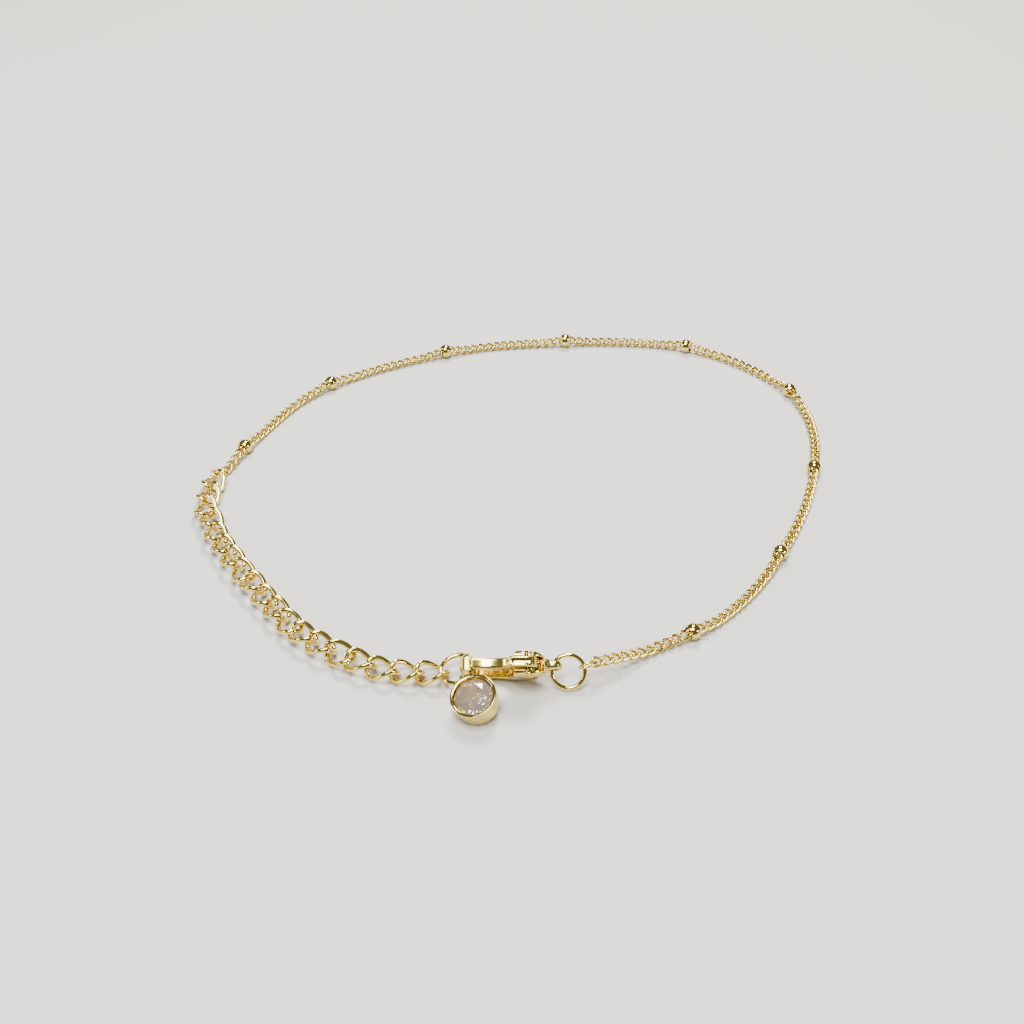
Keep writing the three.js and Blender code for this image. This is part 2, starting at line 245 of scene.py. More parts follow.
def torus_surface(grid: Array) -> Surface:
    """A surface closed both ways, from points of shape (along, around, 3)."""
    rows, columns = grid.shape[:2]
    return Surface(grid.reshape(-1, 3), grid_quads(rows, columns, True, True))


def capped_surface(grid: Array, start: Array, end: Array) -> Surface:
    """A surface closed around, with a pole point at each end.

    Args:
        grid: points of shape (along, around, 3).
        start: the pole before the first row.
        end: the pole after the last row.

    Returns:
        The closed surface.
    """
    rows, columns = grid.shape[:2]
    points = np.concatenate([grid.reshape(-1, 3), [start], [end]])
    j = np.arange(columns)
    after = (j + 1) % columns
    first = np.stack([np.full(columns, rows * columns), j, after], axis=-1)
    base = (rows - 1) * columns
    last = np.stack([np.full(columns, rows * columns + 1), base + after, base + j], axis=-1)
    quads = grid_quads(rows, columns, False, True)
    return Surface(points, quads, np.concatenate([first, last]))


def signed_volume(surface: Surface) -> float:
    """Volume inside a surface, in cubic millimetres, negative if its faces point inwards.

    Args:
        surface: a closed surface.

    Returns:
        The volume.
    """
    q, p = surface.quads, surface.points
    faces = np.concatenate([surface.triangles, q[:, [0, 1, 2]], q[:, [0, 2, 3]]])
    a, b, c = p[faces[:, 0]], p[faces[:, 1]], p[faces[:, 2]]
    return float(np.einsum("ij,ij->i", a, np.cross(b, c)).sum() / 6.0)


def make_object(
    name: str, surface: Surface, finish: bpy.types.Material, smooth: bool = True
) -> bpy.types.Object:
    """Puts a surface into a mesh object at the origin, facing outwards.

    Args:
        name: the piece's name.
        surface: points in millimetres and faces.
        finish: the piece's material.
        smooth: whether its faces are shaded as one curved skin.

    Returns:
        The object, linked into the scene.
    """
    turned = signed_volume(surface) < 0
    step = -1 if turned else 1
    loops = np.concatenate([surface.quads[:, ::step].ravel(), surface.triangles[:, ::step].ravel()])
    sizes = np.concatenate([np.full(len(surface.quads), 4), np.full(len(surface.triangles), 3)])
    starts = np.concatenate([[0], np.cumsum(sizes)[:-1]])
    mesh = bpy.data.meshes.new(name)
    mesh.vertices.add(len(surface.points))
    mesh.vertices.foreach_set("co", (surface.points * MM).astype(np.float32).ravel())
    mesh.loops.add(len(loops))
    mesh.loops.foreach_set("vertex_index", loops.astype(np.int32))
    mesh.polygons.add(len(sizes))
    mesh.polygons.foreach_set("loop_start", starts.astype(np.int32))
    mesh.polygons.foreach_set("use_smooth", np.full(len(sizes), smooth))
    mesh.update(calc_edges=True)
    mesh.validate()
    mesh.materials.append(finish)
    made = bpy.data.objects.new(name, mesh)
    bpy.context.scene.collection.objects.link(made)
    return made


def stand_in(
    made: bpy.types.Object, node: str, body: str = "bracelet"
) -> bpy.types.Object:
    """Lets a piece stand for a construction node.

    Args:
        made: the finished piece.
        node: the node that it replaces.
        body: the rigid body that it moves with.

    Returns:
        The same object.
    """
    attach(made, body)
    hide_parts(node)
    return made


def unit(vectors: Array) -> Array:
    """The vectors scaled to length one."""
    return vectors / np.linalg.norm(vectors, axis=-1, keepdims=True)


def placing(origin: Array, along: Array, near: Array) -> Array:
    """A 4 x 4 matrix whose X runs one way and whose Z is as near as can be to another.

    Args:
        origin: where the matrix puts zero.
        along: the direction of its X.
        near: the direction its Z leans to.

    Returns:
        The matrix.
    """
    x = unit(np.asarray(along, float))
    z = unit(near - x * np.dot(near, x))
    matrix = np.eye(4)
    matrix[:3, :3] = np.stack([x, np.cross(z, x), z], axis=1)
    matrix[:3, 3] = origin
    return matrix


def turned_about_x(degrees: float) -> Array:
    """A 4 x 4 matrix that turns about X."""
    c, s = math.cos(math.radians(degrees)), math.sin(math.radians(degrees))
    return np.array([[1, 0, 0, 0], [0, c, -s, 0], [0, s, c, 0], [0, 0, 0, 1.0]])


def lathe(profile: Array, sides: int) -> Array:
    """Turns a profile of radius and height about Z.

    Each point (r, z) becomes the circle (r cos t, r sin t, z).

    Args:
        profile: points of shape (count, 2).
        sides: number of points round the circle.

    Returns:
        Points of shape (count, sides, 3).
    """
    t = np.linspace(0, 2 * np.pi, sides, endpoint=False)
    r, z = profile[:, :1], profile[:, 1:]
    level = np.broadcast_to(z, (len(profile), sides))
    return np.stack([r * np.cos(t), r * np.sin(t), level], axis=-1)


def arc(centre: tuple[float, float], radius: float, start: float, end: float, count: int) -> Array:
    """Points on a circle's arc, by its angles in degrees."""
    t = np.radians(np.linspace(start, end, count))
    return np.stack([centre[0] + radius * np.cos(t), centre[1] + radius * np.sin(t)], axis=-1)


def spline(points: list[tuple[float, float]], count: int) -> Array:
    """A smooth curve through points, each segment a cubic whose end slopes follow its neighbours.

    Args:
        points: the points to pass through.
        count: number of points to return, evenly spread over the segments.

    Returns:
        Points of shape (count, 2).
    """
    p = np.asarray(points, float)
    padded = np.concatenate([2 * p[:1] - p[1:2], p, 2 * p[-1:] - p[-2:-1]])
    u = np.linspace(0, len(p) - 1, count)
    i = np.minimum(u.astype(int), len(p) - 2)
    t = (u - i)[:, None]
    a, b, c, d = padded[i], padded[i + 1], padded[i + 2], padded[i + 3]
    square = (2 * a - 5 * b + 4 * c - d) * t**2
    cube = (3 * b - a - 3 * c + d) * t**3
    return 0.5 * (2 * b + (c - a) * t + square + cube)


# Curb links and the route of the fine chain


def signed_power(values: Array, power: float) -> Array:
    """The values' sizes raised to a power, each with its own sign."""
    return np.sign(values) * np.abs(values) ** power


@dataclass(frozen=True)
class CurbLink:
    """One curb link: a rounded oblong of wire, twisted about its long axis.

    The middle line is the superellipse x = a |cos t|^(2/n), y = b |sin t|^(2/n), each point
    turned about X by the twist times x / a.
    """

    half_length: float
    half_width: float
    squareness: float
    twist_deg: float
    wire_wide: float
    wire_tall: float
    along: int
    around: int
    flatness: float = 2.0

    def grid(self) -> Array:
        """Points of the link about its own centre.

        Returns:
            An array of shape (along, around, 3).
        """
        t = 2 * np.pi * (np.arange(self.along) + 0.5) / self.along
        middle, ahead, behind = self._middle(t), self._middle(t + 1e-3), self._middle(t - 1e-3)
        run = unit(ahead - behind)
        out = np.stack([run[:, 1], -run[:, 0]], axis=-1)
        s = 2 * np.pi * np.arange(self.around) / self.around
        power = 2 / self.flatness
        wide = self.wire_wide / 2 * signed_power(np.cos(s), power)
        tall = self.wire_tall / 2 * signed_power(np.sin(s), power)
        flat = middle[:, None, :] + out[:, None, :] * wide[None, :, None]
        lift = np.broadcast_to(tall, flat.shape[:2])
        turn = np.radians(self.twist_deg) * middle[:, :1] / self.half_length
        x, y = flat[..., 0], flat[..., 1]
        side = y * np.cos(turn) - lift * np.sin(turn)
        up = y * np.sin(turn) + lift * np.cos(turn)
        return np.stack([x, side, up], axis=-1)

    def _middle(self, t: Array) -> Array:
        """Middle line of the untwisted link at each parameter.

        Args:
            t: angles in radians.

        Returns:
            Points of shape (count, 2).
        """
        power = 2 / self.squareness
        x = self.half_length * signed_power(np.cos(t), power)
        y = self.half_width * signed_power(np.sin(t), power)
        return np.stack([x, y], axis=-1)


# Plan of the fine chain from the extender to the clasp ring: x and y in millimetres
ROUTE_XY = [
    (-38.0, 5.1), (-36.2, 9.8), (-33.7, 15.1), (-30.6, 20.5), (-26.8, 24.6), (-21.9, 28.0),
    (-16.6, 30.8), (-11.1, 33.0), (-5.4, 34.8), (0.5, 35.7), (6.4, 36.1), (12.4, 36.4),
    (18.4, 36.1), (24.1, 35.0), (29.6, 32.6), (34.3, 28.9), (38.0, 24.2), (39.9, 18.7),
    (40.1, 12.8), (39.0, 6.9), (37.4, 1.2), (35.1, -4.3), (32.3, -9.6), (29.2, -14.7),
    (25.4, -19.4), (21.0, -23.2), (15.6, -26.0), (10.9, -28.6), (7.5, -30.1),
]


@dataclass
class ChainRoute:
    """The line of the fine chain: flat between beads, up at each bead and at the clasp."""

    low: float = 0.42
    bead_radius: float = 0.96
    bead_count: int = 9
    bead_spacing: float = 18.0
    first_bead: float = 5.4
    rise_reach: float = 3.0
    end_height: float = 2.2
    end_reach: float = 7.0
    plan: Array = field(init=False)
    arc_length: Array = field(init=False)

    def __post_init__(self) -> None:
        """Works out the plan as a fine polyline with its running length."""
        self.plan = spline(ROUTE_XY, 4001)
        steps = np.linalg.norm(np.diff(self.plan, axis=0), axis=1)
        self.arc_length = np.concatenate([[0], np.cumsum(steps)])

    @property
    def length(self) -> float:
        """Length of the fine chain's line in plan."""
        return float(self.arc_length[-1])

    def beads(self) -> Array:
        """Where each bead's centre is along the line."""
        return self.first_bead + self.bead_spacing * np.arange(self.bead_count)

    def height(self, at: Array) -> Array:
        """Height of the chain's middle.

        A bell-shaped rise stands at each bead, and a wider one at the clasp ring.

        Args:
            at: distances along the line.

        Returns:
            Heights above the floor.
        """
        away = np.abs(at[:, None] - self.beads()[None, :]).min(axis=1)
        bead = self.low + (self.bead_radius - self.low) * np.exp(-((away / self.rise_reach) ** 2))
        clasp = self.end_height * np.exp(-(((self.length - at) / self.end_reach) ** 2))
        return np.maximum(bead, clasp)

    def at(self, at: Array) -> tuple[Array, Array]:
        """Points and directions on the line, carried straight on past its ends.

        Args:
            at: distances along the line.

        Returns:
            Points and unit directions, each of shape (count, 3).
        """
        reach = 0.05
        return self._point(at), unit(self._point(at + reach) - self._point(at - reach))

    def _point(self, at: Array) -> Array:
        """Point on the line at each distance.

        Args:
            at: distances along the line.

        Returns:
            Points of shape (count, 3).
        """
        inside = np.clip(at, 0, self.length)
        plan = [np.interp(inside, self.arc_length, self.plan[:, k]) for k in (0, 1)]
        flat = np.stack(plan, axis=-1)
        first = unit(self.plan[1] - self.plan[0])
        last = unit(self.plan[-1] - self.plan[-2])
        past = np.minimum(at, 0)[:, None] * first + np.maximum(at - self.length, 0)[:, None] * last
        return np.concatenate([flat + past, self.height(inside)[:, None]], axis=1)


@dataclass(frozen=True)
class JoinLink:
    """A link a size larger that ties an end of the fine chain to the wire that it hangs on."""

    link: CurbLink
    wire_at: tuple[float, float, float]
    beyond: float
    roll_deg: float

    def surface(self, toward: Array) -> Surface:
        """The link laid from its wire toward the chain's end link.

        Args:
            toward: centre of the chain's end link.

        Returns:
            The link's surface, its own end wire lying a little beyond the wire it holds.
        """
        wire = np.array(self.wire_at)
        run = unit(toward - wire)
        centre = wire + run * (self.link.half_length - self.beyond)
        stand = placing(centre, run, UP) @ turned_about_x(self.roll_deg)
        return torus_surface(self.link.grid()).moved(stand)


@dataclass
class FineChain:
    """The fine curb chain, every link by itself, from the extender to the clasp ring."""

    route: ChainRoute
    links_a_bead: int = 16
    start_links: int = 4
    start_at: float = 0.8
    end_links: int = 11
    end_short: float = 1.26
    link: CurbLink = CurbLink(0.8, 0.49, 2.5, -58, 0.4, 0.4, 18, 6)
    lean_deg: float = 22.0
    sway_deg: float = 10.0
    long_wave: float = 9.0
    short_wave: float = 4.3
    play: float = 0.12
    floor_gap: float = 0.02
    seed: int = 7
    extender_join: JoinLink = JoinLink(
        CurbLink(1.15, 0.65, 2.4, -50, 0.36, 0.36, 24, 8), (-38.84, 4.44, 0.93), 0.58, -15.0
    )
    clasp_join: JoinLink = JoinLink(
        CurbLink(1.0, 0.65, 2.4, 0, 0.36, 0.36, 24, 8), (7.14, -30.49, 2.27), 0.49, -40.0
    )

    def stations(self) -> Array:
        """Where each link's centre is along the line, evenly spread between beads.

        Returns:
            Distances along the line.
        """
        beads = self.route.beads()
        pitch = self.route.bead_spacing / self.links_a_bead
        count = self.links_a_bead * (len(beads) - 1) + 1
        start = np.linspace(self.start_at, beads[0], self.start_links, endpoint=False)
        middle = beads[0] + pitch * np.arange(count)
        end = np.linspace(beads[-1], self.route.length - self.end_short, self.end_links + 1)[1:]
        return np.concatenate([start, middle, end])

    def rolls(self, at: Array, left: Array) -> Array:
        """Roll of each link: a lean to the front, slow waves and a little play of its own.

        Args:
            at: the links' places along the line.
            left: the level direction to the left of each link.

        Returns:
            Angles in radians.
        """
        rng = np.random.default_rng(self.seed)
        waves = 0.6 * np.sin(at / self.long_wave + 0.6) + 0.4 * np.sin(at / self.short_wave + 2.0)
        play = rng.normal(0, self.play, len(at))
        return np.radians(self.lean_deg * left[:, 1] + self.sway_deg * (waves + play))

    def surface(self) -> Surface:
        """Every link's shape carried to its place, turned to the line and rolled about it.

        A link whose lowest point would go under the floor is lifted onto it.

        Returns:
            All the links in one surface.
        """
        at = self.stations()
        centre, run = self.route.at(at)
        left = unit(np.cross(UP, run))
        up = np.cross(run, left)
        roll = self.rolls(at, left)[:, None]
        across = left * np.cos(roll) + up * np.sin(roll)
        normal = up * np.cos(roll) - left * np.sin(roll)
        shape = self.link.grid()
        axes = np.stack([run, across, normal], axis=1)
        points = np.einsum("lsk,nkx->nlsx", shape, axes) + centre[:, None, None, :]
        lowest = points[..., 2].min(axis=(1, 2))
        points[..., 2] += np.maximum(self.floor_gap - lowest, 0)[:, None, None]
        rows, columns = shape.shape[:2]
        quads = grid_quads(rows, columns, True, True)
        all_quads = quads[None] + (np.arange(len(at)) * rows * columns)[:, None, None]
        chain = Surface(points.reshape(-1, 3), all_quads.reshape(-1, 4))
        first, last = self.extender_join.surface(centre[0]), self.clasp_join.surface(centre[-1])
        return joined([chain, first, last])

    def build(self, finish: bpy.types.Material) -> list[bpy.types.Object]:
        """Makes the chain as one piece in place of the plain tube."""
        made = make_object("fine_chain", self.surface(), finish)
        return [stand_in(made, "chain_tube")]


@dataclass
class Beads:
    """The round beads: polished balls with a bore that the chain runs through."""

    route: ChainRoute
    radius: float = 0.96
    bore: float = 0.7
    lip: float = 0.05
    sides: int = 40

    def profile(self) -> Array:
        """Closed profile of radius and height: the ball's arc, a rounded lip and the bore.

        Returns:
            Points of shape (count, 2).
        """
        edge = math.degrees(math.acos((self.bore + self.lip) / self.radius))
        ball = arc((0, 0), self.radius, -edge, edge, 19)
        half = ball[-1, 1]
        lip = arc((self.bore + self.lip, half - self.lip), self.lip, 80, 180, 5)
        return np.concatenate([ball, lip, (lip * [1, -1])[::-1]])

    def build(self, finish: bpy.types.Material) -> list[bpy.types.Object]:
        """Makes each ball in its place on the chain.

        Args:
            finish: the material.

        Returns:
            The objects made.
        """
        centres, runs = self.route.at(self.route.beads())
        shape = torus_surface(lathe(self.profile(), self.sides))
        pieces = []
        for number, (centre, run) in enumerate(zip(centres, runs), start=1):
            stand = placing(centre, np.cross(UP, run), run)
            made = make_object(f"ball_{number}", shape.moved(stand), finish)
            pieces.append(stand_in(made, f"bead_{number}"))
        return pieces


# Extender links from the fine chain to the end ring: centre x and y, and roll in degrees
EXTENDER_XY_ROLL = [
    (-38.87, 2.7, 0), (-38.99, 0.0, 8), (-38.93, -2.71, 16), (-37.75, -5.12, -6),
    (-36.76, -7.65, -6), (-35.36, -9.98, -4), (-33.89, -12.27, 4), (-32.4, -14.55, 26),
    (-30.7, -16.6, -6), (-29.1, -18.76, -4), (-27.42, -20.86, 2), (-25.8, -23.0, 22),
    (-23.8, -24.75, -8), (-21.74, -26.3, 0), (-19.5, -27.75, 23), (-17.14, -28.8, -6),
    (-14.7, -29.73, -4), (-12.0, -30.2, -8), (-9.24, -30.28, -6),
]


@dataclass
class Extender:
    """The extender: larger curb links of flattened wire, each lying at its own roll."""

    link: CurbLink = CurbLink(1.74, 1.3, 2.4, -52, 0.58, 0.62, 64, 16, 2.6)
    slack: float = 0.06
    floor_gap: float = 0.02

    def build(self, finish: bpy.types.Material) -> list[bpy.types.Object]:
        """Makes each link, resting on the floor or held up by a neighbour.

        Args:
            finish: the material.

        Returns:
            The objects made.
        """
        table = np.array(EXTENDER_XY_ROLL, float)
        padded = np.concatenate([table[:1], table, table[-1:]])
        runs = np.zeros((len(table), 3))
        runs[:, :2] = padded[2:, :2] - padded[:-2, :2]
        shapes = []
        for (x, y, roll), run in zip(table, runs):
            stand = placing(np.array([x, y, 0.0]), run, UP) @ turned_about_x(roll)
            shapes.append(torus_surface(self.link.grid()).moved(stand))
        lying = np.array([self.floor_gap - s.points[:, 2].min() for s in shapes])
        beside = np.concatenate([[0], lying, [0]])
        lift = np.maximum(lying, np.maximum(beside[:-2], beside[2:]) - self.slack)
        pieces = []
        for number, (shape, rise) in enumerate(zip(shapes, lift), start=1):
            raised = Surface(shape.points + UP * rise, shape.quads)
            made = make_object(f"curb_link_{number:02d}", raised, finish)
            pieces.append(stand_in(made, f"extender_link_{number:02d}"))
        return pieces


# The clasp's plane and the rings


@dataclass(frozen=True)
class ClaspPlane:
    """The plane that the clasp is drawn in: p from head to tail, q toward the lever, n across."""

    pivot: tuple[float, float, float] = (1.27, -31.1, 3.29)
    drawn_at: tuple[float, float] = (7.55, 1.05)
    lean_deg: float = 57.0

    def matrix(self) -> Array:
        """Works out how the clasp's plane lies: from (p, q, n) to the bracelet's frame.

        Returns:
            The matrix.
        """
        matrix = turned_about_x(180 - self.lean_deg)
        matrix[:3, 3] = self.pivot
        shift = np.eye(4)
        shift[:2, 3] = [-self.drawn_at[0], -self.drawn_at[1]]
        return matrix @ shift


@dataclass(frozen=True)
class WireRing:
    """A round ring of round wire, closed with a fine saw cut.

    The wire's ends are rounded off over a short stretch each side of the cut.
    """

    radius: float
    wire: float
    place: Array
    cut_deg: float
    cut_gap: float = 0.05
    end_round: float = 0.06
    end_share: float = 0.78
    along: int = 96
    around: int = 20

    def surface(self) -> Surface:
        """The wire carried round (R cos t, R sin t, 0) from one side of the cut to the other.

        Returns:
            The closed surface, in its place.
        """
        half_gap = self.cut_gap / 2 / self.radius
        start = math.radians(self.cut_deg) + half_gap
        end = start + 2 * math.pi - 2 * half_gap
        ease = self.end_round / self.radius
        soft = ease * (1 - np.cos(np.linspace(0, np.pi / 2, 6)))
        body = np.linspace(start + 2 * ease, end - 2 * ease, self.along)
        t = np.concatenate([start + soft, body, end - soft[::-1]])
        into = np.clip(np.minimum(t - start, end - t) / ease, 0, 1)
        full = self.end_share + (1 - self.end_share) * np.sqrt(1 - (1 - into) ** 2)
        wire = self.wire * full[:, None]
        s = 2 * np.pi * np.arange(self.around) / self.around
        circle = np.stack([np.cos(t), np.sin(t)], axis=-1)
        out = self.radius + wire * np.cos(s)
        grid = np.concatenate(
            [out[..., None] * circle[:, None, :], (wire * np.sin(s))[..., None]], axis=-1
        )
        first, last = (np.array([*circle[k] * self.radius, 0.0]) for k in (0, -1))
        return capped_surface(grid, first, last).moved(self.place)


@dataclass
class Rings:
    """The end ring that the clasp hooks into, and the ring from the clasp to the fine chain."""

    plane: ClaspPlane
    wire: float = 0.25
    end_radius: float = 1.9
    end_in_hook: tuple[float, float] = (1.7, -0.75)
    end_cut_deg: float = 140.0
    end_rise_deg: float = 10.0
    end_dip_deg: float = 4.0
    clasp_radius: float = 1.78
    clasp_centre: tuple[float, float, float] = (5.45, -30.85, 1.85)
    clasp_facing: tuple[float, float, float] = (0.0, -0.763, 0.647)
    clasp_cut_deg: float = -91.0

    def end_place(self) -> Array:
        """Where the end ring lies: nearly level, its right side through the hook.

        Returns:
            A 4 x 4 matrix.
        """
        hook = self.plane.matrix() @ np.array([*self.end_in_hook, 0.0, 1.0])
        out = unit(np.array([1.0, 0.0, math.tan(math.radians(self.end_rise_deg))]))
        up = np.array([0.0, -math.sin(math.radians(self.end_dip_deg)), 1.0])
        return placing(hook[:3] - out * self.end_radius, out, up)

    def build(self, finish: bpy.types.Material) -> list[bpy.types.Object]:
        """Makes both rings.

        Args:
            finish: the material.

        Returns:
            The objects made.
        """
        facing = np.array(self.clasp_facing)
        clasp_place = placing(np.array(self.clasp_centre), np.array([1.0, 0, 0]), facing)
        end = WireRing(self.end_radius, self.wire, self.end_place(), self.end_cut_deg)
        middle = WireRing(self.clasp_radius, self.wire, clasp_place, self.clasp_cut_deg)
        pieces = []
        for node, ring in (("ring_extender_end", end), ("ring_clasp", middle)):
            made = make_object(node.replace("ring_", "wire_ring_"), ring.surface(), finish)
            pieces.append(stand_in(made, node))
        return pieces


# Cast pieces: a distance field skinned on a grid


def outline_distance(points: Array, outline: Array) -> Array:
    """Distance from points to a closed outline, negative inside.

    The size is the least distance to any edge, and the sign comes from how often a ray
    crosses the outline.

    Args:
        points: array of shape (..., 2).
        outline: the outline's corners, shape (count, 2).

    Returns:
        Signed distances of shape (...).
    """
    flat = points.reshape(-1, 1, 2)
    a, b = outline[None], np.roll(outline, -1, axis=0)[None]
    edge, away = b - a, flat - a
    share = np.clip((away * edge).sum(-1) / (edge * edge).sum(-1), 0, 1)
    gap = away - edge * share[..., None]
    near = np.sqrt((gap * gap).sum(-1).min(axis=1))
    above = (a[..., 1] > flat[..., 1]) != (b[..., 1] > flat[..., 1])
    level = np.where(edge[..., 1] == 0, 1.0, edge[..., 1])
    crossing = away[..., 0] < edge[..., 0] * away[..., 1] / level
    inside = (above & crossing).sum(axis=1) % 2 == 1
    return np.where(inside, -near, near).reshape(points.shape[:-1])


def both(a: Array, b: Array, radius: float) -> Array:
    """Distance field of what is in both of two fields, its edge rounded to a radius."""
    outside = np.hypot(np.maximum(a + radius, 0), np.maximum(b + radius, 0)) - radius
    return np.where((a > -radius) & (b > -radius), outside, np.maximum(a, b))


def cell_points(values: Array) -> tuple[Array, Array]:
    """One point for each grid cell that the surface passes through.

    Args:
        values: the field at the grid's corners.

    Returns:
        The points in grid steps, each at the mean of the crossings on its cell's twelve edges,
        and every cell's number, which is -1 where the surface doesn't pass.
    """
    cells = tuple(size - 1 for size in values.shape)
    total, hits = np.zeros((*cells, 3)), np.zeros(cells)
    for axis in range(3):
        others = [k for k in range(3) if k != axis]
        for side in np.ndindex(2, 2):
            offset = np.zeros(3, int)
            offset[others] = side
            far = offset.copy()
            far[axis] = 1
            a = values[tuple(slice(o, o + c) for o, c in zip(offset, cells))]
            b = values[tuple(slice(o, o + c) for o, c in zip(far, cells))]
            cut = (a < 0) != (b < 0)
            share = np.where(cut, a / np.where(cut, a - b, 1.0), 0.0)
            for k in range(3):
                total[..., k] += np.where(cut, share if k == axis else float(offset[k]), 0.0)
            hits += cut
    used = hits > 0
    number = np.full(cells, -1)
    number[used] = np.arange(int(used.sum()))
    return np.argwhere(used) + total[used] / hits[used][:, None], number


def cell_quads(values: Array, number: Array) -> Array:
    """One quad for each grid edge that the surface crosses, between the four cells round it.

    Args:
        values: the field at the grid's corners.
        number: every cell's number.

    Returns:
        Index array of shape (faces, 4), facing outwards.
    """
    quads = []
    for axis in range(3):
        j, k = (axis + 1) % 3, (axis + 2) % 3
        inner = [slice(None)] * 3
        inner[j], inner[k] = slice(1, -1), slice(1, -1)
        first, second = list(inner), list(inner)
        first[axis], second[axis] = slice(0, -1), slice(1, None)
        a, b = values[tuple(first)], values[tuple(second)]
        where = np.argwhere((a < 0) != (b < 0))
        outward = (a < 0)[tuple(where.T)]
        where[:, j] += 1
        where[:, k] += 1
        ring = []
        for dj, dk in ((-1, -1), (0, -1), (0, 0), (-1, 0)):
            cell = where.copy()
            cell[:, j] += dj
            cell[:, k] += dk
            ring.append(number[tuple(cell.T)])
        quad = np.stack(ring, axis=-1)
        quads.append(np.where(outward[:, None], quad, quad[:, ::-1]))
    return np.concatenate(quads)


def drawn_on(points: Array, field_of: Field, step: float) -> Array:
    """Points near a surface moved onto it along the field's slope, in three short moves.

    Args:
        points: points of shape (count, 3).
        field_of: the distance field.
        step: grid spacing, which no move is longer than.

    Returns:
        The moved points.
    """
    nudge = step * 0.2
    for _ in range(3):
        here = field_of(points)
        rises = [field_of(points + aside) - field_of(points - aside) for aside in nudge * np.eye(3)]
        slope = np.stack(rises, axis=-1) / (2 * nudge)
        steepness = np.maximum((slope * slope).sum(-1, keepdims=True), 0.25)
        points = points - np.clip(here[:, None] * slope / steepness, -step, step)
    return points


def skin(field_of: Field, low: Array, high: Array, step: float) -> Surface:
    """Surface where a field is zero.

    Args:
        field_of: the distance field, negative inside.
        low: lowest corner of the grid.
        high: highest corner of the grid.
        step: grid spacing.

    Returns:
        The closed surface.
    """
    counts = np.ceil((high - low) / step).astype(int) + 1
    axes = [low[k] + step * np.arange(counts[k]) for k in range(3)]
    values = field_of(np.stack(np.meshgrid(*axes, indexing="ij"), axis=-1))
    values = np.where(values == 0, 1e-9, values)
    cells, number = cell_points(values)
    points = drawn_on(low + step * cells, field_of, step)
    return Surface(points, cell_quads(values, number))


# Half width of the clasp's body: at places p along it, and at places q across its ridge
SIDE_P_N = [
    (-0.2, 0.45), (0.0, 0.7), (0.5, 1.1), (1.6, 1.35), (4.0, 1.28), (6.5, 1.55),
    (8.2, 1.45), (9.2, 0.9), (9.7, 0.55), (11.3, 0.5),
]
RIDGE_Q_N = [
    (-2.5, 0.6), (-2.3, 0.85), (-1.9, 1.15), (-1.3, 1.4), (-0.6, 1.6), (1.2, 1.6),
    (1.9, 1.4), (2.6, 1.0),
]


class CastPiece(Enum):
    """The two cast pieces of the clasp, by the node that each stands for."""

    BODY = "clasp_body"
    LEVER = "clasp_lever"


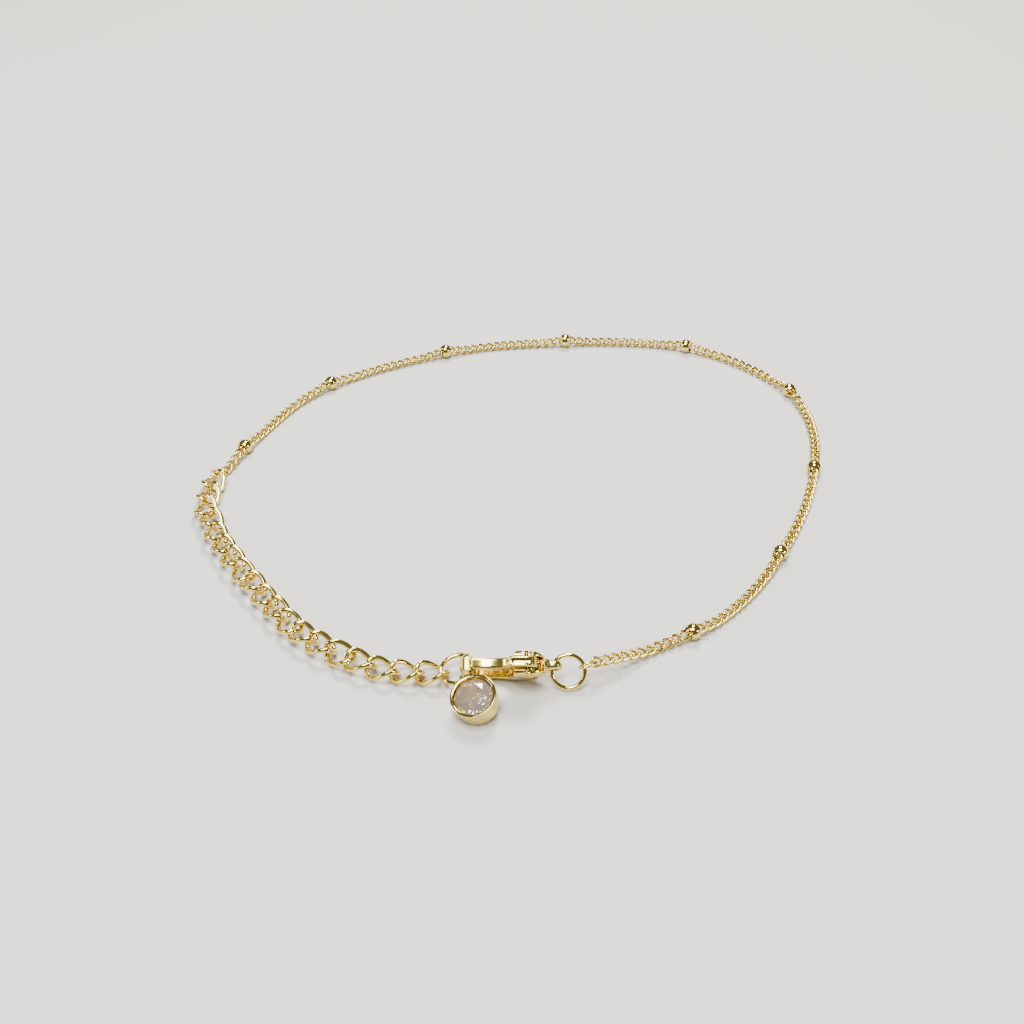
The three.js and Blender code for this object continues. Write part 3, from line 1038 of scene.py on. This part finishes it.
@dataclass
class LobsterClasp:
    """The clasp: a cast body with hook, cheeks and tail eye, a sprung lever and a rivet."""

    plane: ClaspPlane
    rings: Rings
    grid_step: float = 0.055
    edge_round: float = 0.48
    ridge_round: float = 0.5
    slot_half: float = 0.72
    slot_round: float = 0.1
    eye_centre: tuple[float, float] = (10.15, 0.0)
    eye_radius: float = 0.95
    eye_hole: float = 0.56
    rivet_hole: float = 0.44
    countersink_at: float = 1.3
    countersink_slope: float = 0.9
    lever_half: float = 0.54
    lever_round: float = 0.2
    hub_radius: float = 0.9
    scoop_at: tuple[float, float] = (6.65, 3.45)
    scoop_half: float = 0.75
    scoop_radius: float = 0.5
    dimple_at: tuple[float, float, float] = (7.45, 2.15, 1.0)
    dimple_radius: float = 0.42
    rivet_radius: float = 0.4
    rivet_half: float = 1.34
    rivet_dome: float = 0.35
    seat_gap: float = 0.06
    seat_round: float = 0.1
    eye_round: float = 0.2
    hole_round: float = 0.06
    bore_round: float = 0.05

    def body_outline(self) -> Array:
        """The body's plan: hook, spine, tail eye, cheek top and the inside of the hook.

        Returns:
            The closed outline, as points of p and q.
        """
        outer = [
            (1.15, 1.75), (0.35, 1.05), (0.0, 0.0), (0.25, -1.1), (1.1, -2.0), (2.6, -2.4),
            (4.3, -2.4), (6.2, -2.2), (8.0, -1.6), (9.35, -0.8),
        ]
        top = [(9.35, 0.95), (8.9, 1.5), (8.0, 2.0), (7.0, 2.25), (5.9, 2.1)]
        opening = [
            (5.6, -0.1), (5.0, -1.1), (3.6, -1.45), (2.2, -1.55), (1.25, -0.55),
            (1.05, 0.3), (1.25, 0.95),
        ]
        eye = arc(self.eye_centre, self.eye_radius, -107, 107, 15)
        return np.concatenate([spline(outer, 46), eye, spline(top, 17), spline(opening, 31)])

    def lever_outline(self) -> Array:
        """The lever's plan: bar, hub round the rivet and thumb tab.

        Returns:
            The closed outline, as points of p and q.
        """
        bar = [(1.38, 1.0), (3.0, 1.02), (4.6, 0.75), (6.2, 0.35), (7.2, 0.17)]
        tab = [
            (8.35, 2.35), (7.7, 2.95), (6.4, 3.1), (5.5, 3.0), (5.3, 2.7), (4.85, 2.15),
            (3.7, 1.78), (2.5, 1.72), (1.38, 1.82),
        ]
        hub = arc(self.plane.drawn_at, self.hub_radius, -63, 45, 9)
        return np.concatenate([spline(bar, 21), hub, spline(tab, 36)])

    def body_field(self, points: Array) -> Array:
        """The body as its plan, cut to its side and end outlines, then slotted and bored.

        Args:
            points: array of shape (..., 3) of p, q and n.

        Returns:
            Signed distances, near enough, of shape (...).
        """
        p, q, n = points[..., 0], points[..., 1], np.abs(points[..., 2])
        plan = self._plan(points, self.body_outline())
        side = n - np.interp(p, *np.transpose(SIDE_P_N))
        ridge = n - np.interp(q, *np.transpose(RIDGE_Q_N))
        thick = both(side, ridge, self.ridge_round)
        made = both(plan, thick, self.edge_round)
        slot = self._plan(points, self._slot_outline())
        made = both(made, -both(slot, n - self.slot_half, self.slot_round), self.slot_round)
        eye = np.hypot(p - self.eye_centre[0], q - self.eye_centre[1])
        made = both(made, self.eye_hole - eye, self.eye_round)
        pivot = np.hypot(p - self.plane.drawn_at[0], q - self.plane.drawn_at[1])
        flare = self.countersink_slope * np.maximum(n - self.countersink_at, 0)
        made = both(made, self.rivet_hole + flare - pivot, self.hole_round)
        at_p, at_q, at_n = self.dimple_at
        dimple = np.sqrt((p - at_p) ** 2 + (q - at_q) ** 2 + (n - at_n) ** 2)
        made = both(made, self.dimple_radius - dimple, self.hole_round)
        return both(made, -self._seat(points), self.seat_round)

    def lever_field(self, points: Array) -> Array:
        """The lever as its plan with rounded edges, scooped for the thumb and bored for the rivet.

        Args:
            points: array of shape (..., 3) of p, q and n.

        Returns:
            Signed distances, near enough, of shape (...).
        """
        p, q, n = points[..., 0], points[..., 1], np.abs(points[..., 2])
        made = both(self._plan(points, self.lever_outline()), n - self.lever_half, self.lever_round)
        at_p, at_q = self.scoop_at
        along = np.maximum(np.abs(p - at_p) - self.scoop_half, 0)
        scoop = np.sqrt(along**2 + (q - at_q) ** 2 + n**2)
        made = both(made, self.scoop_radius - scoop, self.hole_round)
        pivot = np.hypot(p - self.plane.drawn_at[0], q - self.plane.drawn_at[1])
        return both(made, self.rivet_hole - pivot, self.bore_round)

    def _plan(self, points: Array, outline: Array) -> Array:
        """Distance to an outline in plan, worked out once for a whole grid of points.

        Args:
            points: array of shape (..., 3) of p, q and n.
            outline: corners of p and q.

        Returns:
            Signed distances of shape (...).
        """
        if points.ndim == 4:
            flat = outline_distance(points[:, :, 0, :2], outline)
            return np.broadcast_to(flat[:, :, None], points.shape[:3])
        return outline_distance(points[..., :2], outline)

    def _slot_outline(self) -> Array:
        """The slot's plan, open on the lever's side."""
        low = spline([(5.0, -0.75), (6.4, -0.55), (7.3, -0.15), (8.6, -0.05), (9.05, 0.5)], 17)
        return np.concatenate([low, [(9.15, 4.0), (5.0, 4.0)]])

    def _seat(self, points: Array) -> Array:
        """Distance to the end ring's wire with its gap, which wears the hook's inside hollow.

        Args:
            points: array of shape (..., 3) of p, q and n.

        Returns:
            Signed distances of shape (...).
        """
        into = np.linalg.inv(self.rings.end_place()) @ self.plane.matrix()
        x, y, z = np.moveaxis(points @ into[:3, :3].T + into[:3, 3], -1, 0)
        reach = np.hypot(np.hypot(x, y) - self.rings.end_radius, z)
        return reach - self.rings.wire - self.seat_gap

    def rivet(self) -> Surface:
        """The rivet: a round pin with domed ends, turned about the pivot.

        Returns:
            The closed surface in p, q and n.
        """
        dome = arc((0, 0), self.rivet_radius, 0, 84, 9) * [1, self.rivet_dome]
        top = dome + [0, self.rivet_half]
        rows = np.concatenate([(top * [1, -1])[::-1], top])
        tip = self.rivet_half + self.rivet_dome * self.rivet_radius
        pin = capped_surface(lathe(rows, 32), np.array([0, 0, -tip]), np.array([0, 0, tip]))
        stand = np.eye(4)
        stand[:2, 3] = self.plane.drawn_at
        return pin.moved(stand)

    def build(self, finish: bpy.types.Material) -> list[bpy.types.Object]:
        """Skins both cast pieces and turns the rivet, all carried to the clasp's place.

        Args:
            finish: the material.

        Returns:
            The objects made.
        """
        fields = {CastPiece.BODY: self.body_field, CastPiece.LEVER: self.lever_field}
        corners = {
            CastPiece.BODY: ([-0.3, -2.75, -1.85], [11.5, 2.6, 1.85]),
            CastPiece.LEVER: ([1.1, -0.2, -0.75], [8.8, 3.4, 0.75]),
        }
        names = {CastPiece.BODY: "cast_body", CastPiece.LEVER: "sprung_lever"}
        bodies = {CastPiece.BODY: "bracelet", CastPiece.LEVER: "clasp_lever"}
        pieces = []
        for piece, field_of in fields.items():
            low, high = (np.array(c) for c in corners[piece])
            surface = skin(field_of, low, high, self.grid_step).moved(self.plane.matrix())
            made = make_object(names[piece], surface, finish)
            pieces.append(stand_in(made, piece.value, bodies[piece]))
        pin = make_object("rivet", self.rivet().moved(self.plane.matrix()), finish)
        return [*pieces, stand_in(pin, "clasp_rivet")]


# Bezel and stone


@dataclass
class BezelCharm:
    """The charm: a drawn cup with a thin rim and a soldered loop, holding a round cut stone."""

    back: tuple[float, float, float] = (-4.18, -34.52, 0.73)
    axis: tuple[float, float, float] = (-0.225, -0.257, 0.939)
    loop_toward: tuple[float, float, float] = (-0.45, 0.89, 0.0)
    radius: float = 2.5
    back_radius: float = 2.4
    depth: float = 2.35
    wall: float = 0.33
    floor: float = 0.4
    back_round: float = 0.3
    rim_round: float = 0.09
    lip_round: float = 0.07
    lip_drop: float = 0.1
    floor_round: float = 0.1
    loop_radius: float = 0.75
    loop_wire: float = 0.18
    loop_distance: float = 3.04
    loop_height: float = 0.25
    stone_radius: float = 2.1
    stone_at: float = 1.85
    crown: float = 0.62
    pavilion: float = 1.25
    girdle: float = 0.05
    table_share: float = 0.58
    star_share: float = 0.8
    lower_share: float = 0.3

    def place(self) -> Array:
        """Where the cup stands: back centre, axis toward the rim and X toward the loop.

        Returns:
            A 4 x 4 matrix.
        """
        up = unit(np.array(self.axis))
        toward = np.array(self.loop_toward)
        return placing(np.array(self.back), toward - up * np.dot(toward, up), up)

    def cup(self) -> Surface:
        """The cup's profile from the middle of its back, over the rim, to the middle of its floor.

        Returns:
            The closed surface about the axis.
        """
        inner, back, rim = self.radius - self.wall, self.back_round, self.rim_round
        rows = np.concatenate(
            [
                [(0.5, 0.0), (1.2, 0.0), (1.9, 0.0)],
                arc((self.back_radius - back, back), back, -90, 0, 8),
                [(self.back_radius + 0.04, 1.1), (self.radius - 0.02, 1.9)],
                arc((self.radius - rim, self.depth - rim), rim, 0, 90, 6),
                arc((inner + self.lip_round, self.depth - self.lip_drop), self.lip_round, 90, 180, 5),
                [(inner, 2.0), (inner - 0.01, 1.6), (inner - 0.1, 1.1), (inner - 0.25, 0.6)],
                arc((inner - 0.5, self.floor + self.floor_round), self.floor_round, 0, -90, 4),
                [(0.8, self.floor)],
            ]
        )
        start, end = np.array([0.0, 0, 0]), np.array([0, 0, self.floor])
        return capped_surface(lathe(rows, 96), start, end)

    def loop(self) -> Surface:
        """The soldered loop: round wire round the circle (d + R cos t, 0, h + R sin t).

        Returns:
            The closed surface beside the axis.
        """
        t = 2 * np.pi * np.arange(48)[:, None] / 48
        s = 2 * np.pi * np.arange(16)[None, :] / 16
        out = self.loop_radius + self.loop_wire * np.cos(s)
        across = self.loop_wire * np.sin(s) + 0 * t
        away = self.loop_distance + out * np.cos(t)
        high = self.loop_height + out * np.sin(t)
        return torus_surface(np.stack([away, across, high], axis=-1))

    def stone(self) -> Surface:
        """A round brilliant: table, stars, kites, upper and lower halves and eight mains.

        Kites and mains are flat: the height of the point between two of them lies on the plane
        through the table's (or the culet's) corner and the girdle below it.

        Returns:
            The facets, as quads and triangles.
        """
        r, girdle = self.stone_radius, self.girdle
        eighth = np.arange(8) * np.pi / 4
        half = eighth + np.pi / 8
        cosine = math.cos(math.pi / 8)

        def circle(angles: Array, radius: float, height: float) -> Array:
            """Points at one radius and height."""
            flat = np.stack([np.cos(angles), np.sin(angles)], axis=-1) * radius
            return np.concatenate([flat, np.full((len(angles), 1), height)], axis=1)

        def facets(*corners: Array | int) -> Array:
            """Faces round the stone, each through one corner from every row."""
            return np.stack(np.broadcast_arrays(*corners), axis=-1)

        table_r, star_r, low_r = r * self.table_share, r * self.star_share, r * self.lower_share
        rise, drop = self.crown - girdle, self.pavilion - girdle
        star_z = girdle + rise * (r - star_r * cosine) / (r - table_r)
        low_z = -girdle - drop * (r - low_r * cosine) / r
        points = np.concatenate(
            [
                circle(eighth, table_r, self.crown),
                circle(half, star_r, star_z),
                circle(eighth, r, girdle),
                circle(half, r, girdle),
                circle(eighth, r, -girdle),
                circle(half, r, -girdle),
                circle(half, low_r, low_z),
                [[0, 0, -self.pavilion], [0, 0, self.crown]],
            ]
        )
        k = np.arange(8)
        after, before = (k + 1) % 8, (k - 1) % 8
        tab, star, top, top_mid, bot, bot_mid, low = (8 * i for i in range(7))
        culet, centre = 56, 57
        triangles = [
            facets(centre, tab + k, tab + after),
            facets(tab + after, tab + k, star + k),
            facets(star + k, top + k, top_mid + k),
            facets(star + k, top_mid + k, top + after),
            facets(low + k, bot_mid + k, bot + k),
            facets(low + k, bot + after, bot_mid + k),
        ]
        quads = [
            facets(tab + k, star + before, top + k, star + k),
            facets(top + k, bot + k, bot_mid + k, top_mid + k),
            facets(top_mid + k, bot_mid + k, bot + after, top + after),
            facets(culet, low + k, bot + k, low + before),
        ]
        points = points + [0, 0, self.stone_at]
        return Surface(points, np.concatenate(quads), np.concatenate(triangles))

    def build(self, gold: bpy.types.Material, clear: bpy.types.Material) -> list[bpy.types.Object]:
        """Makes the setting and the stone in their places.

        Args:
            gold: the setting's material.
            clear: the stone's material.

        Returns:
            The objects made.
        """
        place = self.place()
        setting = make_object("bezel_setting", joined([self.cup(), self.loop()]).moved(place), gold)
        gem = make_object("brilliant", self.stone().moved(place), clear, smooth=False)
        return [stand_in(setting, "setting"), stand_in(gem, "stone")]


# Stage


@dataclass(frozen=True)
class Lamp:
    """A square soft lamp: its place and side in millimetres, power in watts and colour."""

    name: str
    at: tuple[float, float, float]
    side: float
    power: float
    tint: str = "FFFFFF"


@dataclass
class Studio:
    """Pale floor, soft lights and the camera at the photograph's angle."""

    look_at: tuple[float, float, float] = (-0.6, -2.2, 0.0)
    distance: float = 156.0
    elevation_deg: float = 40.3
    focal_px: float = 1240.0
    frame_px: float = 1024.0
    floor_half: float = 900.0
    room_tint: str = "C9CBD0"
    room_strength: float = 0.26
    lamps: tuple[Lamp, ...] = (
        Lamp("key_behind", (40, 300, 420), 150, 5.0, "FFF8EC"),
        Lamp("overhead", (-60, -110, 460), 240, 4.5),
        Lamp("fill_left", (-420, -60, 200), 160, 1.2, "F4F7FF"),
        Lamp("strip_right", (380, -160, 200), 90, 0.8),
    )

    def floor(self) -> None:
        """Lays the pale board on z = 0."""
        h = self.floor_half * MM
        mesh = bpy.data.meshes.new("floor")
        mesh.from_pydata([(-h, -h, 0), (h, -h, 0), (h, h, 0), (-h, h, 0)], [], [(0, 1, 2, 3)])
        mesh.materials.append(MattePaper().material())
        made = bpy.data.objects.new("floor", mesh)
        bpy.context.scene.collection.objects.link(made)

    def light(self, lamp: Lamp) -> None:
        """Hangs a lamp that faces the bracelet.

        Args:
            lamp: its place, size, power and colour.
        """
        data = bpy.data.lights.new(lamp.name, "AREA")
        data.size = lamp.side * MM
        data.energy = lamp.power
        data.color = linear(lamp.tint)[:3]
        made = bpy.data.objects.new(lamp.name, data)
        made.location = Vector(lamp.at) * MM
        aim = Vector(self.look_at) * MM - made.location
        made.rotation_euler = aim.to_track_quat("-Z", "Y").to_euler()
        bpy.context.scene.collection.objects.link(made)

    def camera(self) -> None:
        """Stands the camera where the photograph was taken from."""
        data = bpy.data.cameras.new("camera")
        data.sensor_width = 36.0
        data.lens = 36.0 * self.focal_px / self.frame_px
        data.clip_start, data.clip_end = 0.005, 10.0
        made = bpy.data.objects.new("camera", data)
        e = math.radians(self.elevation_deg)
        back = Vector((0, -math.cos(e), math.sin(e)))
        made.location = (Vector(self.look_at) + back * self.distance) * MM
        made.rotation_euler = (-back).to_track_quat("-Z", "Y").to_euler()
        bpy.context.scene.collection.objects.link(made)
        bpy.context.scene.camera = made

    def build(self) -> None:
        """Sets the floor, the lights, the room's dim fill and the camera."""
        self.floor()
        for lamp in self.lamps:
            self.light(lamp)
        world = bpy.data.worlds.new("room")
        world.use_nodes = True
        back = world.node_tree.nodes["Background"]
        back.inputs["Color"].default_value = linear(self.room_tint)
        back.inputs["Strength"].default_value = self.room_strength
        bpy.context.scene.world = world
        self.camera()


def main() -> None:
    """Builds every sub-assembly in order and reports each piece."""
    logging.basicConfig(level=logging.INFO, format="%(name)s: %(message)s")
    chain_gold = PlatedGold("gold_plate_chain", roughness=0.16).material()
    polished_gold = PlatedGold("gold_plate_polished", roughness=0.09).material()
    cast_gold = PlatedGold("gold_plate_cast", roughness=0.13).material()
    plane = ClaspPlane()
    rings = Rings(plane)
    route = ChainRoute()
    made = [
        *FineChain(route).build(chain_gold),
        *Beads(route).build(polished_gold),
        *Extender().build(chain_gold),
        *rings.build(polished_gold),
        *LobsterClasp(plane, rings).build(cast_gold),
        *BezelCharm().build(polished_gold, CutStone().material()),
    ]
    for piece in made:
        LOG.info("%s: %d faces", piece.name, len(piece.data.polygons))
    Studio().build()


if __name__ == "__main__":
    main()
